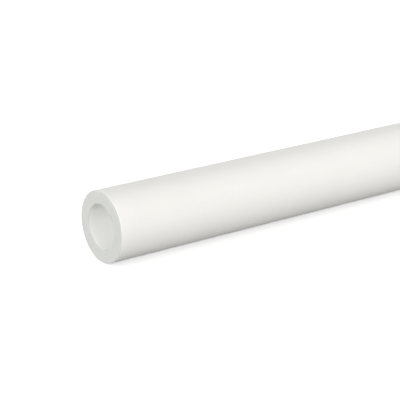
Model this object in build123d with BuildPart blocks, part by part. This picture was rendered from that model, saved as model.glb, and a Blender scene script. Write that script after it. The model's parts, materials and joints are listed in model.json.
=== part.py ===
"""Acetal tube stock: one cut length of thick-walled round tube, lying on its side.

The tube is a single extruded piece of white acetal. Its wall is the same all the way
round and along, its ends are sawn square to the axis, and a deburring tool has broken
the sharp edges: a light bevel round the outside of each end, and a wider one at each
mouth of the bore.

The axis runs along X. The origin is under the middle of the tube, on the surface that
the tube lies on.
"""

import os

from build123d import *

INCH = 25.4

# The two sizes of the section and the cut length, in millimetres.
bore_diameter = 1.25 * INCH
wall_thickness = 0.375 * INCH
cut_length = 12.0 * INCH

# The bevels left by deburring, in millimetres, measured along each face that they meet.
outside_bevel = 0.3
bore_bevel = 0.4

bore_radius = bore_diameter / 2
outside_radius = bore_radius + wall_thickness

# The section stands at the left-hand end of the tube, centred on the axis.
left_end = Plane(
    origin=(-cut_length / 2, 0, outside_radius),
    x_dir=(0, 1, 0),
    z_dir=(1, 0, 0),
)

with BuildPart() as tube:
    # The wall: a ring carried straight along the axis.
    with BuildSketch(left_end) as section:
        Circle(outside_radius)
        Circle(bore_radius, mode=Mode.SUBTRACT)
    extrude(amount=cut_length)

    # The rims of both ends, from the smallest circle to the largest.
    rims = tube.edges().filter_by(GeomType.CIRCLE).group_by(SortBy.RADIUS)
    chamfer(rims[0], length=bore_bevel)
    chamfer(rims[-1], length=outside_bevel)

tube.part.label = "tube"

os.makedirs("parts", exist_ok=True)
export_step(tube.part, "parts/tube.step")
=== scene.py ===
"""Looks of the acetal tube stock: one cut length of thick-walled white tube on a pale floor.

The frame gives the tube's place and sizes. This script makes its finished surface, with the
marks of the extruder, the saw and the deburring tool, then its materials, the studio and the
camera.
"""

import json
import math

import bpy
import numpy as np
from mathutils import Matrix, Vector


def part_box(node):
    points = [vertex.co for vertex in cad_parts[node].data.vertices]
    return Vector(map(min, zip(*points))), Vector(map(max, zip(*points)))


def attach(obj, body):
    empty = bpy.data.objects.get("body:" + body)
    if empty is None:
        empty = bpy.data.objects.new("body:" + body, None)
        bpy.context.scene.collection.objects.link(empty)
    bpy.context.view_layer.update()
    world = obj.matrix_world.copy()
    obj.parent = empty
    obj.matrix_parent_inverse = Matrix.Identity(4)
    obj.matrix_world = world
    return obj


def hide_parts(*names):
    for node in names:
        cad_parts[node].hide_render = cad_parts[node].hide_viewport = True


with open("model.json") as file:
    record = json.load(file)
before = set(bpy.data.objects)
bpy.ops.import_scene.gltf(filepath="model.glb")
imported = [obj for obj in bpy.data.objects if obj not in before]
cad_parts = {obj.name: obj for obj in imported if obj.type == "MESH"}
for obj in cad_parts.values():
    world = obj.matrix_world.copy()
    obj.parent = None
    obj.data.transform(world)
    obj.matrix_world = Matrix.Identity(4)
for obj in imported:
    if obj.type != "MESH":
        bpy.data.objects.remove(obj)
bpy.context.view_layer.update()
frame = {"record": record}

MM = 0.001

# Sizes of the tube, in metres, as the frame gives them.
low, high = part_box("tube")
mounts = {mount["name"]: mount for mount in frame["record"]["mounts"]}
length = high[0] - low[0]
outside_radius = (high[2] - low[2]) / 2
bore_radius = mounts["bore"]["dims"]["r_mm"] * MM
outside_bevel = (length - mounts["outside"]["dims"]["length_mm"] * MM) / 2
bore_bevel = (length - mounts["bore"]["dims"]["length_mm"] * MM) / 2
axis_height = low[2] + outside_radius

# Rows of the mesh along each stretch of the wall's outline, and columns round the tube.
OUTSIDE_ROWS = 40
BORE_ROWS = 40
FACE_ROWS = 40
BEVEL_ROWS = 8
COLUMNS = 400

# Between 1, a round, and 2, a flat bevel: how far the bevels' corners are worn soft.
BEVEL_POWER = 1.4

# The marks of the die, the mandrel and the saw: how deep they are and the narrowest of them.
DRAW_LINE_DEPTH = 0.012 * MM
DRAW_LINE_WIDTH = 1.8 * MM
BORE_LINE_DEPTH = 0.02 * MM
BORE_LINE_WIDTH = 2.0 * MM
SAW_MARK_DEPTH = 0.03 * MM
SAW_MARK_WIDTH = 1.1 * MM

# The saw blade's centre, as places across and above the tube's axis, in metres, and how far
# out from it the saw marks repeat.
BLADE_CENTRE = (0.06, -0.17)
SAW_MARK_REPEAT = 55 * MM


def evenly(start, end, rows):
    """Points in even steps from start to end, with both of them."""
    share = np.linspace(0, 1, rows)[:, None]
    return np.asarray(start) * (1 - share) + np.asarray(end) * share


def broken_edge(skin, face, rows):
    """Points over a deburred edge, from where it leaves the skin to where it meets the face.

    It is a quarter of a superellipse about the point level with both: the way to the skin
    times a power of the cosine, plus the way to the face times that power of the sine.
    """
    centre = np.array([skin[0], face[1]])
    turn = np.linspace(0, math.pi / 2, rows)[:, None]
    to_skin = (np.asarray(skin) - centre) * np.cos(turn) ** BEVEL_POWER
    to_face = (np.asarray(face) - centre) * np.sin(turn) ** BEVEL_POWER
    return centre + to_skin + to_face


def wall_outline():
    """Outline of the wall in a plane through the axis: points of (place along, radius).

    It runs along the outside to the right, in over the right end, back through the bore and
    out over the left end, whose points are the right end's, mirrored and in reverse order.
    """
    end = length / 2
    outside_rim = (end - outside_bevel, outside_radius)
    face_rim = (end, outside_radius - outside_bevel)
    face_mouth = (end, bore_radius + bore_bevel)
    bore_mouth = (end - bore_bevel, bore_radius)
    right_end = np.concatenate([
        broken_edge(outside_rim, face_rim, BEVEL_ROWS),
        evenly(face_rim, face_mouth, FACE_ROWS)[1:-1],
        broken_edge(bore_mouth, face_mouth, BEVEL_ROWS)[::-1],
    ])
    mirror = np.array([-1, 1])
    outside = evenly(outside_rim * mirror, outside_rim, OUTSIDE_ROWS)[1:-1]
    bore = evenly(bore_mouth, bore_mouth * mirror, BORE_ROWS)[1:-1]
    return np.concatenate([outside, right_end, bore, right_end[::-1] * mirror])


def worn_lines(place, repeat, narrowest, seed):
    """Depth of lines side by side, from 0 to 1, at each place across them.

    It is a sum of sines, with whole numbers of waves in each repeat, from 2 up to those of
    the narrowest line. Each has its own random phase, and narrower lines are shallower.
    """
    random = np.random.default_rng(seed)
    waves = np.arange(2, int(repeat / narrowest))
    phase = random.uniform(0, 2 * math.pi, len(waves))
    turn = 2 * math.pi * place[..., None] / repeat
    depth = (np.sin(waves * turn + phase) / np.sqrt(waves)).sum(axis=-1)
    return (depth - depth.min()) / np.ptp(depth)


def smooth_share(value, start, end):
    """0 before start and 1 after end, with a smooth ramp between them."""
    share = np.clip((value - start) / (end - start), 0, 1)
    return share * share * (3 - 2 * share)


def tube_surface(outline):
    """The tube's whole surface, as grids of x, y and z: the outline carried round the axis.

    The marks only cut in: they lower the outside, widen the bore and move the end faces
    towards the middle of the tube, and each fades out over the bevels.
    """
    along, radius = np.split(outline, 2, axis=1)
    turn = np.linspace(0, 2 * math.pi, COLUMNS, endpoint=False)
    once_round = 2 * math.pi * outside_radius
    once_round_bore = 2 * math.pi * bore_radius

    on_outside = smooth_share(radius, outside_radius - outside_bevel, outside_radius)
    on_bore = smooth_share(-radius, -bore_radius - bore_bevel, -bore_radius)
    draw_lines = worn_lines(turn * outside_radius, once_round, DRAW_LINE_WIDTH, seed=3)
    bore_lines = worn_lines(turn * bore_radius, once_round_bore, BORE_LINE_WIDTH, seed=8)
    radius = radius - on_outside * DRAW_LINE_DEPTH * draw_lines
    radius = radius + on_bore * BORE_LINE_DEPTH * bore_lines
    across = radius * np.sin(turn)
    up = radius * np.cos(turn)

    on_face = smooth_share(np.abs(along), length / 2 - outside_bevel, length / 2)
    reach = np.hypot(across - BLADE_CENTRE[0], up - BLADE_CENTRE[1])
    saw_marks = worn_lines(reach, SAW_MARK_REPEAT, SAW_MARK_WIDTH, seed=5)
    along = along - np.sign(along) * on_face * SAW_MARK_DEPTH * saw_marks
    return along, across, up + axis_height


# Materials

# Sizes of the patterns, in metres. The real lines and grain are down to a tenth of these,
# too fine to show, and so they are drawn coarser.
FINE_LINE_WIDTH = 0.9 * MM
FINE_LINE_LENGTH = 150 * MM
CLOUD_SIZE = 22 * MM
ARC_STEP = 0.8 * MM
PATCH_SIZE = 9 * MM
GRAIN_SIZE = 0.5 * MM

# How far the bump of each pattern lifts the surface, in metres. The real marks are shallower,
# too shallow to show.
FINE_LINE_LIFT = 0.05 * MM
ARC_LIFT = 0.02 * MM
GRAIN_LIFT = 0.02 * MM

# The step between the rings that the wave texture draws at a scale of 1.
RING_STEP = 2 * math.pi / 20

# Numbers of the mix node's colour sockets, whose names are not their own.
MIX_FIRST = 6
MIX_SECOND = 7
MIX_RESULT = 2

# Acetal is milky: light spreads a little way under its surface before it comes out again,
# which softens every edge and mark. All of the tube's finishes share that.
ACETAL = {
    "IOR": 1.48,
    "Subsurface Weight": 1.0,
    "Subsurface Radius": (1.0, 0.97, 0.92),
    "Subsurface Scale": 1.6 * MM,
}


def linear(colour):
    """A colour written as sRGB hex, turned to linear red, green, blue and alpha.

    Its numbers are the sRGB standard's: a straight start, and above it a power of 2.4.
    """
    channels = [int(colour[i:i + 2], 16) / 255 for i in (1, 3, 5)]
    return (*[c / 12.92 if c <= 0.04045 else ((c + 0.055) / 1.055) ** 2.4 for c in channels], 1)


def add(tree, kind, sockets=None, **settings):
    """Adds a node, with its settings, and gives its sockets their values or links."""
    made = tree.nodes.new(kind)
    for name, value in settings.items():
        setattr(made, name, value)
    for name, value in (sockets or {}).items():
        if isinstance(value, bpy.types.NodeSocket):
            tree.links.new(value, made.inputs[name])
        else:
            made.inputs[name].default_value = value
    return made


def new_material(name):
    """An empty material and its node tree."""
    material = bpy.data.materials.new(name)
    material.use_nodes = True
    material.node_tree.nodes.clear()
    return material, material.node_tree


def extruded_skin():
    """Acetal as it leaves the die: satin, with faint clouds and fine lines drawn along it."""
    material, tree = new_material("acetal_extruded_skin")
    place = add(tree, "ShaderNodeTexCoord").outputs["Object"]
    stretched = add(tree, "ShaderNodeMapping", {
        "Vector": place,
        "Scale": (1 / FINE_LINE_LENGTH, 1 / FINE_LINE_WIDTH, 1 / FINE_LINE_WIDTH),
    })
    lines = add(tree, "ShaderNodeTexNoise", {
        "Vector": stretched.outputs["Vector"],
        "Scale": 1.0,
        "Detail": 2.0,
    })
    clouds = add(tree, "ShaderNodeTexNoise", {
        "Vector": place,
        "Scale": 1 / CLOUD_SIZE,
        "Detail": 3.0,
    })
    colour = add(tree, "ShaderNodeMix", {
        "Factor": clouds.outputs["Fac"],
        MIX_FIRST: linear("#EEEDE9"),
        MIX_SECOND: linear("#EAE9E5"),
    }, data_type="RGBA")
    roughness = add(tree, "ShaderNodeMapRange", {
        "Value": lines.outputs["Fac"],
        "To Min": 0.44,
        "To Max": 0.56,
    })
    bump = add(tree, "ShaderNodeBump", {
        "Height": lines.outputs["Fac"],
        "Distance": FINE_LINE_LIFT,
    })
    shader = add(tree, "ShaderNodeBsdfPrincipled", {
        **ACETAL,
        "Base Color": colour.outputs[MIX_RESULT],
        "Roughness": roughness.outputs["Result"],
        "Normal": bump.outputs["Normal"],
    })
    add(tree, "ShaderNodeOutputMaterial", {"Surface": shader.outputs["BSDF"]})
    return material


def mandrel_bore_painted_light():
    """Acetal off the mandrel: duller than the skin, with lines along the bore. Its whiter colour is
    painted light.
    """
    material, tree = new_material("acetal_mandrel_bore")
    place = add(tree, "ShaderNodeTexCoord").outputs["Object"]
    stretched = add(tree, "ShaderNodeMapping", {
        "Vector": place,
        "Scale": (1 / FINE_LINE_LENGTH, 1 / FINE_LINE_WIDTH, 1 / FINE_LINE_WIDTH),
    })
    lines = add(tree, "ShaderNodeTexNoise", {
        "Vector": stretched.outputs["Vector"],
        "Scale": 1.0,
        "Detail": 3.0,
    })
    # Painted light: both colours are whiter than the skin's, so that the bore shows the light that
    # its milky wall would let in.
    colour = add(tree, "ShaderNodeMix", {
        "Factor": lines.outputs["Fac"],
        MIX_FIRST: linear("#FBFCF6"),
        MIX_SECOND: linear("#F7F8F2"),
    }, data_type="RGBA")
    bump = add(tree, "ShaderNodeBump", {
        "Height": lines.outputs["Fac"],
        "Distance": FINE_LINE_LIFT,
    })
    shader = add(tree, "ShaderNodeBsdfPrincipled", {
        **ACETAL,
        "Base Color": colour.outputs[MIX_RESULT],
        "Roughness": 0.6,
        "Normal": bump.outputs["Normal"],
    })
    add(tree, "ShaderNodeOutputMaterial", {"Surface": shader.outputs["BSDF"]})
    return material


def sawn_end_painted_shade():
    """Acetal cut with a circular saw: matt, with a torn grain and patchy fine arcs. Its greyer
    colour is painted shade.

    The arcs' heights are times a share from 0.2 to 1 that follows a noise of broad patches.
    """
    material, tree = new_material("acetal_sawn_end")
    place = add(tree, "ShaderNodeTexCoord").outputs["Object"]
    from_blade = add(tree, "ShaderNodeMapping", {
        "Vector": place,
        "Location": (0, -BLADE_CENTRE[0], -BLADE_CENTRE[1] - axis_height),
    })
    arcs = add(tree, "ShaderNodeTexWave", {
        "Vector": from_blade.outputs["Vector"],
        "Scale": RING_STEP / ARC_STEP,
        "Distortion": 1.5,
        "Detail": 2.0,
        "Detail Scale": 0.3,
    }, wave_type="RINGS", rings_direction="X")
    grain = add(tree, "ShaderNodeTexNoise", {
        "Vector": place,
        "Scale": 1 / GRAIN_SIZE,
        "Detail": 3.0,
        "Roughness": 0.6,
    })
    # Painted shade: both tones are greyer than the skin's, for the end face's shade; how they mix
    # follows the grain, at random.
    colour = add(tree, "ShaderNodeMix", {
        "Factor": grain.outputs["Fac"],
        MIX_FIRST: linear("#D7D8D4"),
        MIX_SECOND: linear("#CFD0CC"),
    }, data_type="RGBA")
    patches = add(tree, "ShaderNodeTexNoise", {
        "Vector": place,
        "Scale": 1 / PATCH_SIZE,
        "Detail": 2.0,
    })
    scored = add(tree, "ShaderNodeMapRange", {
        "Value": patches.outputs["Fac"],
        "From Min": 0.35,
        "From Max": 0.65,
        "To Min": 0.2,
    })
    arc_heights = add(tree, "ShaderNodeMath", {
        0: arcs.outputs["Fac"],
        1: scored.outputs["Result"],
    }, operation="MULTIPLY")
    arc_bump = add(tree, "ShaderNodeBump", {
        "Height": arc_heights.outputs["Value"],
        "Distance": ARC_LIFT,
    })
    bump = add(tree, "ShaderNodeBump", {
        "Height": grain.outputs["Fac"],
        "Distance": GRAIN_LIFT,
        "Normal": arc_bump.outputs["Normal"],
    })
    shader = add(tree, "ShaderNodeBsdfPrincipled", {
        **ACETAL,
        "Base Color": colour.outputs[MIX_RESULT],
        "Roughness": 0.7,
        "Normal": bump.outputs["Normal"],
    })
    add(tree, "ShaderNodeOutputMaterial", {"Surface": shader.outputs["BSDF"]})
    return material


def scraped_edge_painted_shade():
    """Acetal pared by the deburring tool: the smoothest finish, a little waxy, and coloured darker
    as painted shade.
    """
    material, tree = new_material("acetal_scraped_edge")
    place = add(tree, "ShaderNodeTexCoord").outputs["Object"]
    chatter = add(tree, "ShaderNodeTexNoise", {
        "Vector": place,
        "Scale": 1 / GRAIN_SIZE,
        "Detail": 1.0,
    })
    roughness = add(tree, "ShaderNodeMapRange", {
        "Value": chatter.outputs["Fac"],
        "To Min": 0.4,
        "To Max": 0.5,
    })
    # Painted shade: the edge's colour is darker than the skin's and the end's, which dims the
    # bevels' bright line along the rims and draws a thin dark line round the bore's mouth.
    shader = add(tree, "ShaderNodeBsdfPrincipled", {
        **ACETAL,
        "Base Color": linear("#C6C6C2"),
        "Roughness": roughness.outputs["Result"],
    })
    add(tree, "ShaderNodeOutputMaterial", {"Surface": shader.outputs["BSDF"]})
    return material


def finish_numbers(outline):
    """The number of the finish on each stretch of the outline, by where its middle lies.

    The skin is 0, the bore 1, the sawn end 2 and the edges between them 3.
    """
    near = 0.001 * MM
    middles = (outline + np.roll(outline, -1, axis=0)) / 2
    along = np.abs(middles[:, 0])
    radius = middles[:, 1]
    return np.select([
        radius > outside_radius - near,
        radius < bore_radius + near,
        along > length / 2 - near,
    ], [0, 1, 2], default=3)


def make_tube():
    """The tube's mesh, with the outline's rows and the columns round it closed into loops."""
    outline = wall_outline()
    grids = np.broadcast_arrays(*tube_surface(outline))
    rows, columns = grids[0].shape
    points = np.stack(grids, axis=-1).reshape(-1, 3)
    row, column = np.mgrid[0:rows, 0:columns]
    next_row = (row + 1) % rows
    next_column = (column + 1) % columns
    quads = np.stack([
        row * columns + column,
        next_row * columns + column,
        next_row * columns + next_column,
        row * columns + next_column,
    ], axis=-1).reshape(-1, 4)
    mesh = bpy.data.meshes.new("tube_wall")
    mesh.from_pydata(points, [], quads)
    mesh.shade_smooth()
    for material in (extruded_skin(), mandrel_bore_painted_light(), sawn_end_painted_shade(), scraped_edge_painted_shade()):
        mesh.materials.append(material)
    mesh.polygons.foreach_set("material_index", np.repeat(finish_numbers(outline), columns))
    tube = bpy.data.objects.new("tube_wall", mesh)
    bpy.context.collection.objects.link(tube)
    return tube


tube = make_tube()
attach(tube, "root")
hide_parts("tube")


# Studio

# What the camera sees of the floor and the world is white, also in glossy and clear things.
# Other light finds the floor a dark grey, which keeps the tube's underside in shade.
FLOOR_SIZE = 6.0
FLOOR_GLOW = 0.45
FLOOR_COLOUR = "#FAFAFA"
FLOOR_BOUNCE_COLOUR = "#535353"
WHITE = (1, 1, 1, 1)
AMBIENT_STRENGTH = 0.26

# Each lamp's name, azimuth, elevation and width in degrees, and strength. Azimuth 0 shines
# from the front and 90 from the right.
LAMPS = (
    ("front_left", -53, 10, 40, 2.69),
    ("front_right", 13, 6, 33, 1.69),
    ("left", -105, 33, 40, 0.87),
    ("back", -175, 10, 20, 1.93),
    ("right", 90, 8, 16, 2.2),
)


def seen_directly(tree):
    """1 for rays from the camera and for those that a gloss or a clear wall sends on."""
    path = add(tree, "ShaderNodeLightPath").outputs
    camera_or_gloss = add(tree, "ShaderNodeMath", {
        0: path["Is Camera Ray"],
        1: path["Is Glossy Ray"],
    }, operation="MAXIMUM")
    either = add(tree, "ShaderNodeMath", {
        0: camera_or_gloss.outputs["Value"],
        1: path["Is Transmission Ray"],
    }, operation="MAXIMUM")
    return either.outputs["Value"]


def make_floor():
    """A wide pale floor at the height of the tube's underside."""
    material, tree = new_material("studio_floor")
    lit = add(tree, "ShaderNodeBsdfDiffuse", {"Color": linear(FLOOR_COLOUR)})
    glow = add(tree, "ShaderNodeEmission", {"Color": WHITE, "Strength": FLOOR_GLOW})
    seen = add(tree, "ShaderNodeAddShader", {0: lit.outputs["BSDF"], 1: glow.outputs["Emission"]})
    bounce = add(tree, "ShaderNodeBsdfDiffuse", {"Color": linear(FLOOR_BOUNCE_COLOUR)})
    either = add(tree, "ShaderNodeMixShader", {
        0: seen_directly(tree),
        1: bounce.outputs["BSDF"],
        2: seen.outputs["Shader"],
    })
    add(tree, "ShaderNodeOutputMaterial", {"Surface": either.outputs["Shader"]})
    corners = [(-1, -1), (1, -1), (1, 1), (-1, 1)]
    mesh = bpy.data.meshes.new("floor")
    mesh.from_pydata([(x * FLOOR_SIZE, y * FLOOR_SIZE, low[2]) for x, y in corners], [], [range(4)])
    mesh.materials.append(material)
    floor = bpy.data.objects.new("floor", mesh)
    bpy.context.collection.objects.link(floor)


def make_world():
    """White where the camera sees it, and a dimmer white that lights the tube all round."""
    world = bpy.data.worlds.new("studio")
    world.use_nodes = True
    tree = world.node_tree
    tree.nodes.clear()
    ambient = add(tree, "ShaderNodeBackground", {"Color": WHITE, "Strength": AMBIENT_STRENGTH})
    seen = add(tree, "ShaderNodeBackground", {"Color": WHITE, "Strength": 1.0})
    either = add(tree, "ShaderNodeMixShader", {
        0: seen_directly(tree),
        1: ambient.outputs["Background"],
        2: seen.outputs["Background"],
    })
    add(tree, "ShaderNodeOutputWorld", {"Surface": either.outputs["Shader"]})
    bpy.context.scene.world = world


def make_lamp(name, azimuth, elevation, width, strength):
    """A soft lamp, so far off that its light is the same all over the tube.

    The tube's gloss shows the white surroundings and not the lamp, so no side of it glares.
    """
    lamp = bpy.data.lights.new(name, "SUN")
    lamp.angle = math.radians(width)
    lamp.energy = strength
    made = bpy.data.objects.new(name, lamp)
    made.visible_glossy = False
    side = math.radians(azimuth)
    height = math.radians(elevation)
    towards = Vector((
        math.sin(side) * math.cos(height),
        -math.cos(side) * math.cos(height),
        math.sin(height),
    ))
    made.rotation_mode = "QUATERNION"
    made.rotation_quaternion = towards.to_track_quat("Z", "Y")
    bpy.context.collection.objects.link(made)


make_floor()
make_world()
for lamp in LAMPS:
    make_lamp(*lamp)


# Camera: where the photograph's stands. The tube's left end is left of the middle of the
# picture and a little below it. Lens and sensor are in millimetres.

FRAME_PIXELS = 400
SENSOR = 36.0
LENS = 135.8
CAMERA_SIDE = math.radians(36.06)
CAMERA_HEIGHT = math.radians(18.95)
LEFT_END_PIXEL = (100.96, 227.14)
LEFT_END_AWAY = 40.12 * outside_radius
NEAREST_SEEN = 0.05
FARTHEST_SEEN = 50


def make_camera():
    """Puts the camera so that the middle of the left end shows at its pixel and distance."""
    data = bpy.data.cameras.new("camera")
    data.sensor_width = SENSOR
    data.lens = LENS
    data.clip_start = NEAREST_SEEN
    data.clip_end = FARTHEST_SEEN
    camera = bpy.data.objects.new("camera", data)
    ahead = Vector((
        math.sin(CAMERA_SIDE) * math.cos(CAMERA_HEIGHT),
        math.cos(CAMERA_SIDE) * math.cos(CAMERA_HEIGHT),
        -math.sin(CAMERA_HEIGHT),
    ))
    right = Vector((math.cos(CAMERA_SIDE), -math.sin(CAMERA_SIDE), 0))
    upwards = right.cross(ahead)
    pixel = SENSOR / FRAME_PIXELS / LENS * LEFT_END_AWAY
    left_end = Vector((-length / 2, 0, axis_height))
    middle = FRAME_PIXELS / 2
    rightwards = (LEFT_END_PIXEL[0] - middle) * pixel
    downwards = (LEFT_END_PIXEL[1] - middle) * pixel
    place = left_end - ahead * LEFT_END_AWAY - right * rightwards + upwards * downwards
    turned = Matrix((right, upwards, -ahead)).transposed()
    camera.matrix_world = Matrix.Translation(place) @ turned.to_4x4()
    bpy.context.collection.objects.link(camera)
    bpy.context.scene.camera = camera


make_camera()
bpy.context.scene.view_settings.view_transform = "Standard"
